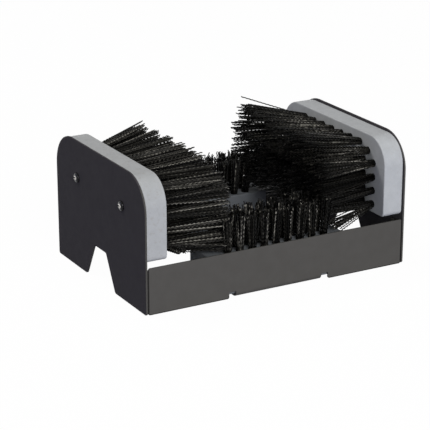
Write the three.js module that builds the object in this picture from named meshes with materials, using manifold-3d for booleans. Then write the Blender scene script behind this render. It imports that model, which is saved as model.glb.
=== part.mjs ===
// Boot scraper: two folded sheet steel rails between two end plates, a painted wooden brush
// block on the inside of each plate, and a wooden brush strip on the flange of each rail.
// Millimetres. X runs from end plate to end plate, Y from front to rear, Z up from the ground.

import * as THREE from 'three';
import { mergeVertices } from 'three/addons/utils/BufferGeometryUtils.js';
import Module from 'manifold-3d';

const wasm = await Module();
wasm.setup();

// Overall size, over the end plates
const width = 230;
const depth = 155;
const height = 105;
const sheet = 1.5;

// End plates, with an arch cut out between two feet
const plateCornerRadius = 28;
const footCornerRadius = 2;
const archFloorWidth = 50;
const archTopWidth = 20;
const archHeight = 28;
const archFootRadius = 3;
const archTopRadius = 2;

// Rails: each has a flange folded in along its foot, between two notches, and a tab at each end
const railHeight = 37;
const bendRadius = 3;
const flangeWidth = 76.5;
const flangeDepth = 30;
const reliefWidth = 6;
const reliefClearance = 0.5;
const reliefRadius = 0.4;
const reliefFootRadius = 1.5;
const tabBendRadius = 0.5;
const tabLength = 14;
const tabSetback = 1.5;
const tabCornerRadius = 3;

// Side brush blocks
const blockThickness = 17.5;
const blockSetback = 1.7;
const blockAboveRail = 3.5;
const blockFootRadius = 4;
const edgeEase = 1;

// Base brush strips
const stripLength = 120;
const stripDepth = 32;
const stripHeight = 33.5;
const stripFootRadius = 4;
const stripTopRadius = 1;
const stripEase = 0.8;
const stripToRail = 0.3;

// Tufts of the side brushes
const columnMargin = 15.7;
const columnPitch = 13.35;
const bottomRowMargin = 7.1;
const rowPitch = 11.3;
const topRowMargin = 8.8;
const topRowStep = 13;
const topRowInset = 9;
const topRowPitch = 13.5;
const cornerTuftPush = 2.5;
const sideBristleLength = 55;
const sideFanAcross = 1.07;
const sideFanUp = 1.15;

// Tufts of the base strips
const stripEndMargin = 17.4;
const stripTuftPitch = 10.65;
const stripSideMargin = 4.8;
const stripRowPitch = 11.2;
const stripRowShift = 0.8;
const stripBristleLength = 25.5;
const stripFanAlong = 1.05;
const stripFanAcross = 1.15;

// Strands, each tuft drawn as a few thick ones, fused to a slice let into the wood
const strandsPerTuft = 3;
const strandSides = 3;
const strandRadius = 0.8;
const tuftRootRadius = 1.4;
const tuftTipRadius = 3;
const stripTuftTipRadius = 2.5;
const strandSink = 0.7;
const sliceThickness = 1.5;
const sliceMargin = 3;
const stripSliceMargin = 2.4;
const sliceCornerRadius = 16;
const sliceFootRadius = 2;
const sliceClearance = 0.2;
const brushClearance = 2;

// Dome head wood screws through the end plates
const sideScrewSpacing = 78;
const sideScrewBelowTop = 30;
const domeHeadDiameter = 8;
const domeHeadHeight = 2.2;
const domeHeadRim = 0.5;
const domeScrewDiameter = 4;
const domeScrewLength = 14;
const recessLength = 4.4;
const recessWidth = 1.1;
const recessDepth = 1.1;

// Countersunk wood screws up through the flanges of the rails
const baseScrewSpacing = 56;
const flatHeadDiameter = 7.2;
const flatHeadRim = 0.3;
const flatHeadSunk = 0.15;
const flatScrewDiameter = 3.5;
const flatScrewLength = 22;
const screwPointLength = 4;
const screwClearance = 0.15;

// How finely round stretches are cut
const arcSag = 0.05;
const roundSteps = 20;
const holeSteps = 20;
const domeSteps = 5;
const easeSteps = 2;

// Places worked out from the sizes
const plateInside = width / 2 - sheet;
const blockHalfDepth = depth / 2 - blockSetback;
const blockTop = height - blockSetback;
const blockBottom = railHeight + blockAboveRail;
const blockFace = plateInside - blockThickness;
const railInside = depth / 2 - sheet;
const stripOuter = railInside - stripToRail;
const stripMiddle = stripOuter - stripDepth / 2;
const stripInner = stripOuter - stripDepth;
const stripTop = sheet + stripHeight;
const rowMiddle = stripMiddle + stripRowShift;
const sideScrewHeight = height - sideScrewBelowTop;

// Geometry helpers

/** Points of a closed outline whose corners are [x, y, radius], with each corner rounded. */
function roundedOutline(corners) {
  const points = [];
  corners.forEach(([x, y, radius], i) => {
    const corner = new THREE.Vector2(x, y);
    const [bx, by] = corners[(i + corners.length - 1) % corners.length];
    const [nx, ny] = corners[(i + 1) % corners.length];
    const back = new THREE.Vector2(bx, by).sub(corner).normalize();
    const next = new THREE.Vector2(nx, ny).sub(corner).normalize();
    if (radius <= 0) {
      points.push(corner);
      return;
    }
    const half = Math.acos(back.dot(next)) / 2;
    const reach = radius / Math.tan(half);
    const centre = back.clone().add(next).normalize().multiplyScalar(radius / Math.sin(half)).add(corner);
    const start = back.clone().multiplyScalar(reach).add(corner).sub(centre);
    const turn = Math.PI - 2 * half;
    const way = Math.sign(next.cross(back));
    const steps = Math.max(2, Math.ceil(turn / (2 * Math.acos(1 - arcSag / radius))));
    for (let step = 0; step <= steps; step += 1) {
      const arm = start.clone().rotateAround(new THREE.Vector2(), (way * turn * step) / steps);
      points.push(arm.add(centre));
    }
  });
  return points;
}

/** A shape from outline corners, with round holes given as [x, y, radius]. */
function outlineShape(corners, holes = []) {
  const shape = new THREE.Shape(roundedOutline(corners));
  holes.forEach(([x, y, radius]) => {
    const ring = [];
    for (let step = 0; step < holeSteps; step += 1) {
      const angle = (2 * Math.PI * step) / holeSteps;
      ring.push(new THREE.Vector2(x + radius * Math.cos(angle), y + radius * Math.sin(angle)));
    }
    shape.holes.push(new THREE.Path(ring));
  });
  return shape;
}

/** A shape pushed out along its normal, with its edges eased where asked. */
function extruded(shape, thickness, ease = 0) {
  return new THREE.ExtrudeGeometry(shape, {
    depth: thickness - 2 * ease,
    bevelEnabled: ease > 0,
    bevelThickness: ease,
    bevelSize: ease,
    bevelOffset: -ease,
    bevelSegments: easeSteps,
    steps: 1,
  }).translate(0, 0, ease);
}

/** Turns a shape drawn in Y and Z, pushed out along Z, so that it is pushed out along X. */
function alongX(geometry) {
  const axes = [new THREE.Vector3(0, 1, 0), new THREE.Vector3(0, 0, 1), new THREE.Vector3(1, 0, 0)];
  return geometry.applyMatrix4(new THREE.Matrix4().makeBasis(...axes));
}

/** Turns a shape drawn in X and Z, pushed out along Z, so that it is pushed out towards -Y. */
function alongY(geometry) {
  const axes = [new THREE.Vector3(1, 0, 0), new THREE.Vector3(0, 0, 1), new THREE.Vector3(0, -1, 0)];
  return geometry.applyMatrix4(new THREE.Matrix4().makeBasis(...axes));
}

/** A closed geometry as a solid that can be joined and cut. */
function solid(geometry) {
  const bare = geometry.clone();
  bare.deleteAttribute('normal');
  bare.deleteAttribute('uv');
  const merged = mergeVertices(bare, 1e-4);
  return new wasm.Manifold(new wasm.Mesh({
    numProp: 3,
    vertProperties: new Float32Array(merged.attributes.position.array),
    triVerts: new Uint32Array(merged.index.array),
  }));
}

/** A solid back as a geometry. */
function geometryOf(body) {
  const mesh = body.getMesh();
  const geometry = new THREE.BufferGeometry();
  geometry.setAttribute('position', new THREE.BufferAttribute(new Float32Array(mesh.vertProperties), 3));
  geometry.setIndex(new THREE.BufferAttribute(new Uint32Array(mesh.triVerts), 1));
  geometry.computeVertexNormals();
  return geometry;
}

/** Joins a list of geometries into one solid. */
function joined(geometries) {
  return geometries.map(solid).reduce((whole, piece) => whole.add(piece));
}

/** Cuts a list of geometries out of a solid. */
function cut(body, geometries) {
  return geometries.map(solid).reduce((whole, piece) => whole.subtract(piece), body);
}

/** Values spread evenly from low to high, as near as they can be to a pitch apart. */
function spread(low, high, pitch) {
  const gaps = Math.max(1, Math.round((high - low) / pitch));
  return Array.from({ length: gaps + 1 }, (_, i) => low + ((high - low) * i) / gaps);
}

// Materials

const finish = (color, roughness, metalness) => () => {
  return new THREE.MeshStandardMaterial({ color, roughness, metalness });
};
const blackSteel = finish(0x2e2e30, 0.55, 0.2);
const greyPaint = finish(0xa4a7aa, 0.7, 0);
const blackBristle = finish(0x1b1a18, 0.5, 0);
const brightSteel = finish(0xc4c4c2, 0.25, 1);

const model = new THREE.Group();

/** Adds one named piece, turned half round the Z axis if it belongs to the far side. */
function place(name, geometry, material, { turned = false, at = [0, 0, 0] } = {}) {
  const mesh = new THREE.Mesh(geometry, material);
  mesh.name = name;
  mesh.position.set(...at);
  const holder = new THREE.Group();
  holder.rotation.z = turned ? Math.PI : 0;
  holder.add(mesh);
  model.add(holder);
}

// Screws, drawn along Z with the underside of a dome head, or the face of a flat head, at zero

/** Outline of a dome head screw, half of its section, grown by a gap for the hole it makes. */
function domeScrewProfile(gap) {
  const shank = domeScrewDiameter / 2 + gap;
  const rim = domeHeadDiameter / 2;
  const profile = [[0, -domeScrewLength - gap], [shank, screwPointLength - domeScrewLength], [shank, 0]];
  if (gap > 0) {
    return [...profile, [shank, domeHeadHeight], [0, domeHeadHeight]];
  }
  profile.push([rim, 0], [rim, domeHeadRim]);
  for (let step = 1; step < domeSteps; step += 1) {
    const angle = (Math.PI / 2) * (step / domeSteps);
    const rise = (domeHeadHeight - domeHeadRim) * Math.sin(angle);
    profile.push([rim * Math.cos(angle), domeHeadRim + rise]);
  }
  return [...profile, [0, domeHeadHeight]];
}

/** Outline of a countersunk screw that points up, grown by a gap for the hole it makes. */
function flatScrewProfile(gap) {
  const shank = flatScrewDiameter / 2 + gap;
  const rim = flatHeadDiameter / 2 + gap;
  const face = gap > 0 ? -flatHeadSunk : 0;
  const neck = flatHeadRim + rim - shank;
  return [
    [0, face], [rim, face], [rim, flatHeadRim], [shank, neck],
    [shank, flatScrewLength - screwPointLength], [0, flatScrewLength + gap],
  ];
}

/** A profile of [radius, height] turned about the Z axis. */
function turnedSolid(profile) {
  const points = profile.map(([radius, along]) => new THREE.Vector2(radius, along));
  return new THREE.LatheGeometry(points, roundSteps).rotateX(Math.PI / 2);
}

/** A screw turned from its profile, with a cross recess sunk into its head at a height. */
function screw(profile, headFace) {
  const arms = [[recessLength, recessWidth], [recessWidth, recessLength]].map(([x, y]) => {
    return new THREE.BoxGeometry(x, y, 2 * recessDepth).translate(0, 0, headFace);
  });
  return geometryOf(cut(solid(turnedSolid(profile)), arms));
}

/** Stands a screw drawn along Z on its side, its head towards -X and its point towards +X. */
const headToLeft = (geometry) => geometry.rotateY(-Math.PI / 2);

const sideScrewPlaces = [-1, 1].map((sign) => (sign * sideScrewSpacing) / 2);

// End plates

/** Left end plate, its outer face on the left end of the object. */
function endPlate() {
  const half = depth / 2;
  const corners = [
    [-half, 0, footCornerRadius],
    [-archFloorWidth / 2, 0, archFootRadius],
    [-archTopWidth / 2, archHeight, archTopRadius],
    [archTopWidth / 2, archHeight, archTopRadius],
    [archFloorWidth / 2, 0, archFootRadius],
    [half, 0, footCornerRadius],
    [half, height, plateCornerRadius],
    [-half, height, plateCornerRadius],
  ];
  const holes = sideScrewPlaces.map((y) => [y, sideScrewHeight, domeScrewDiameter / 2 + screwClearance]);
  return alongX(extruded(outlineShape(corners, holes), sheet)).translate(-width / 2, 0, 0);
}

place('left_end_plate', endPlate(), blackSteel());
place('right_end_plate', endPlate(), blackSteel(), { turned: true });

// Rails

/** A quarter ring of sheet, from pointing along +x to pointing along +y, about the origin. */
function quarterBend(inside) {
  const outside = inside + sheet;
  const steps = Math.max(3, Math.ceil(Math.PI / 4 / Math.acos(1 - arcSag / outside)));
  const arc = (radius, from, to) => Array.from({ length: steps + 1 }, (_, i) => {
    const angle = from + ((to - from) * i) / steps;
    return new THREE.Vector2(radius * Math.cos(angle), radius * Math.sin(angle));
  });
  return new THREE.Shape([...arc(outside, 0, Math.PI / 2), ...arc(inside, Math.PI / 2, 0)]);
}

/** Where the countersunk screws of the front strip stand. */
const stripScrewPlaces = [-1, 1].map((side) => [(side * baseScrewSpacing) / 2, -stripMiddle]);

/** The holes of the countersunk screws, open through the underside of the flange. */
function flatScrewHoles() {
  const hole = turnedSolid(flatScrewProfile(screwClearance));
  return stripScrewPlaces.map(([x, y]) => hole.clone().translate(x, y, flatHeadSunk));
}

/** Front rail, folded from one sheet: its flat, its flange, and a tab at each end. */
function rail() {
  const front = -depth / 2;
  const flangeBend = bendRadius + sheet;
  const tabBend = tabBendRadius + sheet;
  const flatHalf = plateInside - tabBend;
  const flangeHalf = flangeWidth / 2;
  const reliefHalf = flangeHalf + reliefWidth;
  const reliefHeight = flangeBend + reliefClearance;
  const flat = outlineShape([
    [-flatHalf, 0, 0], [-reliefHalf, 0, reliefFootRadius], [-reliefHalf, reliefHeight, reliefRadius],
    [-flangeHalf, reliefHeight, reliefRadius], [-flangeHalf, flangeBend, 0],
    [flangeHalf, flangeBend, 0], [flangeHalf, reliefHeight, reliefRadius],
    [reliefHalf, reliefHeight, reliefRadius], [reliefHalf, 0, reliefFootRadius], [flatHalf, 0, 0],
    [flatHalf, railHeight, 0], [-flatHalf, railHeight, 0],
  ]);
  const pieces = [alongY(extruded(flat, sheet)).translate(0, front + sheet, 0)];

  // The flange and its bend, which runs from the flange up to the flat
  const flangeRing = extruded(quarterBend(bendRadius), flangeWidth).rotateZ(Math.PI);
  pieces.push(alongX(flangeRing).translate(-flangeHalf, front + flangeBend, flangeBend));
  const flange = new THREE.BoxGeometry(flangeWidth, flangeDepth - flangeBend, sheet);
  pieces.push(flange.translate(0, front + (flangeDepth + flangeBend) / 2, sheet / 2));

  // The bend and the tab at each end, set in a little from the rail's top and bottom
  const tabHeight = railHeight - 2 * tabSetback;
  [-1, 1].forEach((side) => {
    const ring = extruded(quarterBend(tabBendRadius), tabHeight).rotateZ(side < 0 ? Math.PI : -Math.PI / 2);
    pieces.push(ring.translate(side * flatHalf, front + tabBend, tabSetback));
    const tab = outlineShape([
      [0, 0, 0], [tabLength, 0, tabCornerRadius], [tabLength, tabHeight, tabCornerRadius], [0, tabHeight, 0],
    ]);
    const inner = side < 0 ? -plateInside : plateInside - sheet;
    pieces.push(alongX(extruded(tab, sheet)).translate(inner, front + tabBend, tabSetback));
  });
  return cut(joined(pieces), flatScrewHoles());
}

place('front_rail', geometryOf(rail()), blackSteel());
place('rear_rail', geometryOf(rail()), blackSteel(), { turned: true });

// Tufts

/** One strand from a root to a tip, sunk a little into what it grows from. */
function strand(root, tip, turn) {
  const axis = tip.clone().sub(root).normalize();
  const slant = Math.max(Math.abs(axis.x), Math.abs(axis.z));
  const start = root.clone().addScaledVector(axis, -strandSink / slant);
  const across = new THREE.Vector3(0, 1, 0).addScaledVector(axis, -axis.y).normalize();
  const up = new THREE.Vector3().crossVectors(axis, across);
  const positions = [];
  [start, tip].forEach((centre) => {
    for (let side = 0; side < strandSides; side += 1) {
      const angle = turn + (2 * Math.PI * side) / strandSides;
      const arm = across.clone().multiplyScalar(strandRadius * Math.cos(angle));
      arm.addScaledVector(up, strandRadius * Math.sin(angle)).add(centre);
      positions.push(arm.x, arm.y, arm.z);
    }
  });
  const index = [];
  for (let side = 0; side < strandSides; side += 1) {
    const next = (side + 1) % strandSides;
    index.push(side, next, strandSides + next, side, strandSides + next, strandSides + side);
  }
  for (let side = 1; side < strandSides - 1; side += 1) {
    index.push(0, side + 1, side, strandSides, strandSides + side, strandSides + side + 1);
  }
  const geometry = new THREE.BufferGeometry();
  geometry.setAttribute('position', new THREE.Float32BufferAttribute(positions, 3));
  geometry.setIndex(index);
  return geometry;
}

/** The strands of one tuft, from round its root to round its tip, in a plane of two directions. */
function tuft(root, tip, tipRadius, plane) {
  return Array.from({ length: strandsPerTuft }, (_, i) => {
    const angle = (2 * Math.PI * i) / strandsPerTuft + Math.PI / 2;
    const out = plane[0].clone().multiplyScalar(Math.cos(angle)).addScaledVector(plane[1], Math.sin(angle));
    const from = root.clone().addScaledVector(out, tuftRootRadius);
    const to = tip.clone().addScaledVector(out, tipRadius);
    return strand(from, to, angle);
  });
}

// Side brushes

/** Outline of a side block, its top corners round about the same centres as the plate's. */
function blockCorners() {
  const radius = plateCornerRadius - blockSetback;
  return [
    [-blockHalfDepth, blockBottom, blockFootRadius], [blockHalfDepth, blockBottom, blockFootRadius],
    [blockHalfDepth, blockTop, radius], [-blockHalfDepth, blockTop, radius],
  ];
}

/** Roots of the side tufts as [y, z]: full rows, a shorter top row, and one tuft in each corner between. */
function sideTuftPlaces() {
  const outer = blockHalfDepth - columnMargin;
  const topRow = blockTop - topRowMargin;
  const topOuter = blockHalfDepth - (plateCornerRadius - blockSetback) - topRowInset;
  const rows = spread(blockBottom + bottomRowMargin, topRow - topRowStep, rowPitch);
  const places = rows.flatMap((z) => spread(-outer, outer, columnPitch).map((y) => [y, z]));
  spread(-topOuter, topOuter, topRowPitch).forEach((y) => places.push([y, topRow]));
  const push = cornerTuftPush * Math.SQRT1_2;
  [-1, 1].forEach((side) => {
    places.push([side * ((outer + topOuter) / 2 + push), (rows[rows.length - 1] + topRow) / 2 + push]);
  });
  return places;
}

/** Outline of the slice that the side tufts are fused to, grown by a gap for the pocket it lies in. */
function sideSliceCorners(gap) {
  const places = sideTuftPlaces();
  const half = Math.max(...places.map(([y]) => y)) + sliceMargin + gap;
  const low = Math.min(...places.map(([, z]) => z)) - sliceMargin - gap;
  const high = Math.max(...places.map(([, z]) => z)) + sliceMargin + gap;
  return [
    [-half, low, sliceFootRadius + gap], [half, low, sliceFootRadius + gap],
    [half, high, sliceCornerRadius + gap], [-half, high, sliceCornerRadius + gap],
  ];
}

/** Left side block, with its screw holes and the pocket for the slice. */
function sideBlock() {
  const block = alongX(extruded(outlineShape(blockCorners()), blockThickness, edgeEase));
  const body = solid(block.translate(-plateInside, 0, 0));
  const pocket = alongX(extruded(outlineShape(sideSliceCorners(sliceClearance)), 2 * sliceThickness));
  const holes = sideScrewPlaces.map((y) => {
    const hole = headToLeft(turnedSolid(domeScrewProfile(screwClearance)));
    return hole.translate(-width / 2, y, sideScrewHeight);
  });
  return cut(body, [pocket.translate(-blockFace - sliceThickness, 0, 0), ...holes]);
}

/** How far the base tufts reach sideways, inwards and up, with the gap that is kept to them. */
function baseTuftReach() {
  const tuftSpread = stripTuftTipRadius + strandRadius + brushClearance;
  return {
    x: (stripLength / 2 - stripEndMargin) * stripFanAlong + tuftSpread,
    y: rowMiddle - (stripDepth / 2 - stripSideMargin) * stripFanAcross - tuftSpread,
    z: stripTop + stripBristleLength + brushClearance,
  };
}

/** Left side bristles. Those that would run into the base tufts end before they reach them. */
function sideBristles() {
  const slice = alongX(extruded(outlineShape(sideSliceCorners(0)), sliceThickness));
  const middle = (blockTop + blockBottom) / 2;
  const reach = baseTuftReach();
  const plane = [new THREE.Vector3(0, 1, 0), new THREE.Vector3(0, 0, 1)];
  const strands = sideTuftPlaces().flatMap(([y, z]) => {
    const root = new THREE.Vector3(-blockFace, y, z);
    const tip = new THREE.Vector3(sideBristleLength - blockFace, y * sideFanAcross, middle);
    tip.z += (z - middle) * sideFanUp;
    const overTufts = Math.abs(tip.y) + tuftTipRadius + strandRadius > reach.y;
    const low = Math.min(tip.z, z) - tuftTipRadius < reach.z;
    const share = overTufts && low ? Math.min(1, (blockFace - reach.x) / sideBristleLength) : 1;
    return tuft(root, root.clone().lerp(tip, share), tuftTipRadius, plane);
  });
  return joined([slice.translate(-blockFace - sliceThickness, 0, 0), ...strands]);
}

place('left_brush_block', geometryOf(sideBlock()), greyPaint());
place('left_bristles', geometryOf(sideBristles()), blackBristle());
place('right_brush_block', geometryOf(sideBlock()), greyPaint(), { turned: true });
place('right_bristles', geometryOf(sideBristles()), blackBristle(), { turned: true });

// Base brushes

/** Outline, in X and Y, of the slice that the front strip's tufts are fused to. */
function stripSliceCorners(gap) {
  const halfX = stripLength / 2 - stripEndMargin + stripSliceMargin + gap;
  const halfY = stripDepth / 2 - stripSideMargin + stripSliceMargin + gap;
  const radius = sliceFootRadius + gap;
  return [
    [-halfX, -rowMiddle - halfY, radius], [halfX, -rowMiddle - halfY, radius],
    [halfX, -rowMiddle + halfY, radius], [-halfX, -rowMiddle + halfY, radius],
  ];
}

/** Front base strip, with its screw holes and the pocket for the slice. */
function baseStrip() {
  const section = outlineShape([
    [-stripOuter, sheet, stripFootRadius], [-stripInner, sheet, stripFootRadius],
    [-stripInner, stripTop, stripTopRadius], [-stripOuter, stripTop, stripTopRadius],
  ]);
  const body = solid(alongX(extruded(section, stripLength, stripEase)).translate(-stripLength / 2, 0, 0));
  const pocket = extruded(outlineShape(stripSliceCorners(sliceClearance)), 2 * sliceThickness);
  return cut(body, [pocket.translate(0, 0, stripTop - sliceThickness), ...flatScrewHoles()]);
}

/** Front base bristles. */
function stripBristles() {
  const slice = extruded(outlineShape(stripSliceCorners(0)), sliceThickness);
  const halfX = stripLength / 2 - stripEndMargin;
  const halfY = stripDepth / 2 - stripSideMargin;
  const tipHeight = stripTop + stripBristleLength;
  const plane = [new THREE.Vector3(1, 0, 0), new THREE.Vector3(0, 1, 0)];
  const strands = spread(-halfX, halfX, stripTuftPitch).flatMap((x) => {
    return spread(-halfY, halfY, stripRowPitch).flatMap((y) => {
      const root = new THREE.Vector3(x, y - rowMiddle, stripTop);
      const tip = new THREE.Vector3(x * stripFanAlong, y * stripFanAcross - rowMiddle, tipHeight);
      return tuft(root, tip, stripTuftTipRadius, plane);
    });
  });
  return joined([slice.translate(0, 0, stripTop - sliceThickness), ...strands]);
}

place('front_base_block', geometryOf(baseStrip()), greyPaint());
place('front_base_bristles', geometryOf(stripBristles()), blackBristle());
place('rear_base_block', geometryOf(baseStrip()), greyPaint(), { turned: true });
place('rear_base_bristles', geometryOf(stripBristles()), blackBristle(), { turned: true });

// Fasteners

[['left', false], ['right', true]].forEach(([side, turned]) => {
  sideScrewPlaces.forEach((y) => {
    const end = (turned ? -y : y) < 0 ? 'front' : 'rear';
    const domeScrew = headToLeft(screw(domeScrewProfile(0), domeHeadHeight));
    const at = [-width / 2, y, sideScrewHeight];
    place(`${side}_screw_${end}`, domeScrew, brightSteel(), { turned, at });
  });
});

[['front', false], ['rear', true]].forEach(([row, turned]) => {
  stripScrewPlaces.forEach(([x, y]) => {
    const end = (turned ? -x : x) < 0 ? 'left' : 'right';
    const flatScrew = screw(flatScrewProfile(0), 0);
    place(`base_screw_${row}_${end}`, flatScrew, brightSteel(), { turned, at: [x, y, flatHeadSunk] });
  });
});

export default model;
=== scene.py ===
import itertools
import math

import bmesh
import bpy
import numpy as np
from mathutils import Matrix, Vector

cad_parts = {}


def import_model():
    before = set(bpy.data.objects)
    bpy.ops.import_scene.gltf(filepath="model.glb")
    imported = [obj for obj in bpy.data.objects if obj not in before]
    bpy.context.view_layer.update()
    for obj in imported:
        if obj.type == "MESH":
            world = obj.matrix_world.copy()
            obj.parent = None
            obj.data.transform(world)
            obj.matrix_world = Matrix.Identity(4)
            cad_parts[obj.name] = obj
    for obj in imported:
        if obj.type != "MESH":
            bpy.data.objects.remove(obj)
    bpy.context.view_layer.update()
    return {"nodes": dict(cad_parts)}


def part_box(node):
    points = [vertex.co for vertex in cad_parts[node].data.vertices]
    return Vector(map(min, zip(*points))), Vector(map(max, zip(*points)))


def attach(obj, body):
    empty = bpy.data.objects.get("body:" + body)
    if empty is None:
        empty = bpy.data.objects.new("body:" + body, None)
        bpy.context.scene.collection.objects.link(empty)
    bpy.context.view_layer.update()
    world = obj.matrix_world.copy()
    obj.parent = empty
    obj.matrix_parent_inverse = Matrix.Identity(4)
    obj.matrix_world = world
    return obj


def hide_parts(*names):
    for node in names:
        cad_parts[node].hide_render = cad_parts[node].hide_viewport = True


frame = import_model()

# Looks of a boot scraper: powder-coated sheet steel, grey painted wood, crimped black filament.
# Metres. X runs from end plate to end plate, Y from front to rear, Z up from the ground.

MM = 0.001
BODY = "root"

# Sizes read from the frame

plate_low, plate_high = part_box("right_end_plate")
block_low, block_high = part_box("right_brush_block")
strip_low, strip_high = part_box("front_base_block")
rail_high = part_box("front_rail")[1]

SHEET = plate_high.x - plate_low.x
HALF_WIDTH = plate_high.x
PLATE_INSIDE = plate_low.x
HALF_DEPTH = plate_high.y
HEIGHT = plate_high.z
RAIL_HEIGHT = rail_high.z
FLANGE_EDGE = rail_high.y
BLOCK_FACE = block_low.x
STRIP_TOP = strip_high.z

# Sizes that repeat the solids' own

PLATE_CORNER = 28 * MM
FOOT_CORNER = 2 * MM
ARCH_FLOOR = 25 * MM
ARCH_TOP = 10 * MM
ARCH_HEIGHT = 28 * MM
ARCH_FOOT_RADIUS = 3 * MM
ARCH_TOP_RADIUS = 2 * MM
BEND_RADIUS = 3 * MM
FLANGE_HALF = 38.25 * MM
RELIEF_WIDTH = 6 * MM
RELIEF_HEIGHT = 5 * MM
RELIEF_RADIUS = 0.4 * MM
RELIEF_FOOT_RADIUS = 1.5 * MM
TAB_BEND_RADIUS = 0.5 * MM
TAB_LENGTH = 14 * MM
TAB_CORNER = 3 * MM
BLOCK_FOOT_RADIUS = 4 * MM
STRIP_FOOT_RADIUS = 4 * MM
STRIP_TOP_RADIUS = 1 * MM

# Sizes that differ from the solids' own: a tighter corner on the blocks, and rails whose ends are
# rounded off at the top and the foot. A point short of each end steadies the foot's edge.

BLOCK_CORNER = 22.0 * MM
TAB_TOP_DROP = 3.0 * MM
TAB_FOOT_RISE = 2.0 * MM
STEADY_LENGTH = 4.0 * MM

# Edges are rounded a little more finely than in the solids

SHEET_EASE = 0.3 * MM
WOOD_EASE = 1.0 * MM
STRIP_EASE = 0.8 * MM
EASE_STEPS = 3
BLOCK_EASE_STEPS = 4
QUARTER_STEPS = 12
LEAST_CORNER_STEPS = 3
BEND_STEPS = 8
SHARP_ANGLE = math.radians(50)
MERGE_DISTANCE = 1e-6

# Tufts of the side brushes, as rows of roots on the block's face

COLUMNS = 10
COLUMN_REACH = 60.1 * MM
ROW_HEIGHTS = [47.6 * MM, 58.9 * MM, 70.2 * MM, 81.5 * MM]
TOP_ROW_HEIGHT = 94.5 * MM
TOP_COLUMNS = 7
TOP_REACH = 40.5 * MM
CORNER_TUFT = (52.0 * MM, 90.0 * MM)
SIDE_LENGTH = 54.8 * MM
SIDE_FAN_Y = 0.15
SIDE_RISE = (1.0 * MM, 0.0 * MM, 7.0 * MM)
SIDE_MIDDLE = (block_low.z + block_high.z) / 2
TUFT_RADIUS = 2.7 * MM
SIDE_TIP_RADIUS = 6.8 * MM
LOW_TIP_RADIUS = 5.8 * MM
HOLE_RADIUS = 3.0 * MM
HOLE_DEPTH = 5.0 * MM
HOLE_START = 1.0 * MM
HOLE_SIDES = 24

# How use has set the right brush: its top row stands up more and more towards the rear, and its
# lowest front tuft has split in two

RIGHT_LIFT_FROM = (13.5 * MM, 40.5 * MM)
RIGHT_LIFT = (0.0 * MM, 4.5 * MM)
SPLIT_TUFT_TIP = (44.0 * MM, -66.0 * MM, 52.3 * MM)
SPLIT_TUFT_RADIUS = 3.6 * MM

# How use has set the left brush: its top row droops, most of all in front, and leans to the rear
# in slimmer tufts, and its three lowest rows reach a little further

LEFT_DROOP_FROM = (-40.5 * MM, 40.5 * MM)
LEFT_DROOP = (5.5 * MM, 1.2 * MM)
LEFT_LEAN_FROM = (0.0 * MM, 13.5 * MM, 27.0 * MM, 40.5 * MM)
LEFT_LEAN = (0.0 * MM, 3.5 * MM, 10.0 * MM, 15.0 * MM)
LEFT_LEAN_BACK = 0.25
LEFT_TOP_RADIUS = 4.8 * MM
LEFT_LONGER = 1.0 * MM

# Tufts of the base strips

STRIP_COLUMNS = 9
STRIP_COLUMN_REACH = 42.6 * MM
STRIP_ROWS = 3
STRIP_ROW_REACH = 11.2 * MM
STRIP_ROW_SHIFT = 0.8 * MM
STRIP_LENGTH = 27.6 * MM
STRIP_FAN = 0.05
STRIP_ROW_FAN = 0.15
STRIP_TIP_RADIUS = 3.9 * MM

# Filaments. Those of a tuft start a little below the wood's face, wander from their even places
# by a share of the tuft's radius at its tip, and lean together by another. A few splay further.

FILAMENTS = 23
LEFT_FILAMENTS = {"lower": FILAMENTS, "middle": FILAMENTS, "upper": 33}
FILAMENT_RADIUS = 0.52 * MM
FILAMENT_SIDES = 3
ROOT_DEPTH = 2 * MM
WANDER = 0.16
TUFT_LEAN = 0.14
SPLAY_FROM = 0.96
SPLAY = 0.5

# How unevenly they are cut: each filament, the tuft's share of that, and a limit to the longest

SIDE_RAGGED = 0.022
STRIP_RAGGED = 0.05
TUFT_RAGGED = 0.6
RAGGED_LIMIT = 0.9

# Their crimp, which is full from a sixth of their length on, and their bow, as a share of it

CRIMP = 0.38 * MM
STRAY_CRIMP = 0.1 * MM
CRIMP_LENGTH = 3.3 * MM
CRIMP_TURN = 0.4
CRIMP_SHIFT = 0.15
CRIMP_SPREAD = (0.6, 1.2)
CRIMP_GROWTH = 6
BOW = 0.009
NEARLY_UPRIGHT = 0.9

# Painted light and shade on them, along their length and at their tips

# The right brush is painted darker than the left, as shade, its lower rows most
RIGHT_PAINTED_LIGHT = {"lower": (0.5, 0.25), "middle": (0.55, 0.2), "upper": (1.8, 0.4)}
LEFT_PAINTED_LIGHT = {"lower": (2.2, 2.0), "middle": (1.7, 1.6), "upper": (2.0, 1.9)}
# The rear strip's tufts are painted darker than the front's, as shade
FRONT_PAINTED_LIGHT = (1.5, 1.5)
REAR_PAINTED_LIGHT = (0.9, 0.9)
LOOSE_PAINTED_LIGHT = (1.0, 1.0)
PAINTED_LIGHT_PLACES = (0, 0.33, 0.6, 1)
# Each filament is painted darker towards its root, as shade
ROOT_PAINTED_SHADE = 0.25
# A few tips are painted with a glint
TIP_GLINT = 3

# The higher the contrast is, the fewer of them are painted light

CONTRAST = 1.6
LEFT_CONTRAST = 1.8
FRONT_CONTRAST = 2.8
REAR_CONTRAST = 3.0

# Painted highlight and shade on the crimp: how light each second bend is beside the others,
# and how much the bends differ by chance

CREST_PAINTED_HIGHLIGHT = (0.1, 1.0)
LEFT_CREST_PAINTED_HIGHLIGHT = (0.5, 0.4)
LEAST_CREST_LIGHT = 0.4

# Loose bunches, which leave their tufts at angles of their own: the piece's name, its node, its
# root and its tips in millimetres, and its radius and number of filaments at each tip

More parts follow.
